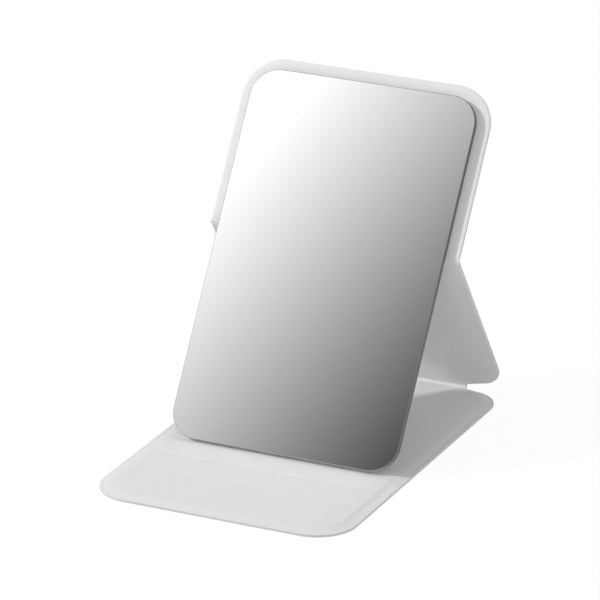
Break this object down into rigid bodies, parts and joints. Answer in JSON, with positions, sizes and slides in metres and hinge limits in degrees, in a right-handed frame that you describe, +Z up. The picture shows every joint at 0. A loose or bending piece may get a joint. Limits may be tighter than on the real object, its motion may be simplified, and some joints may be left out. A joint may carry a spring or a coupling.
{
  "type": "folding stand mirror",
  "caption": "Frameless rounded mirror plate on a white folding leatherette cover that opens into a tilting stand with angle grooves.",
  "frame": {"origin": "on the table, in the middle of the front cover's underside", "axes": "+X across the mirror to the viewer's right, +Y to the back, where the leg stands, +Z up"},
  "size_m": [0.121, 0.1832, 0.1506],
  "materials": {
    "outer_leatherette": "white, fine grain, matte",
    "lining_leatherette": "white, fine grain, matte",
    "stiffening_board": "grey board",
    "tape": "double-sided tape",
    "backing_film": "grey protective paint and film",
    "silvering": "silver mirror layer",
    "plate_glass": "clear, polished, ground edges"
  },
  "bodies": {
    "front_cover": {"front_cover_skin": "outer_leatherette", "front_cover_board": "stiffening_board", "front_cover_lining": "lining_leatherette", "spine_skin": "outer_leatherette", "spine_lining": "lining_leatherette"},
    "leg": {"leg_skin": "outer_leatherette", "leg_board": "stiffening_board", "leg_lining": "lining_leatherette"},
    "mirror": {"carrier_skin": "outer_leatherette", "carrier_board": "stiffening_board", "carrier_lining": "lining_leatherette", "mounting_tape": "tape", "mirror_backing": "backing_film", "mirror_silvering": "silvering", "mirror_glass": "plate_glass"}
  },
  "joints": [
    {"name": "leg_fold", "type": "hinge", "parent": "front_cover", "child": "leg", "pos_m": [0, 0.0905, 0.0024], "axis": [-1, 0, 0], "range_deg": [-13.1, 33.5]},
    {"name": "mirror_fold", "type": "hinge", "parent": "leg", "child": "mirror", "pos_m": [0, 0.035, 0.08442], "axis": [-1, 0, 0], "range_deg": [-67, 26.2]}
  ],
  "couplings": [
    {"joint": "mirror_fold", "follows": "leg_fold", "ratio": -2}
  ]
}
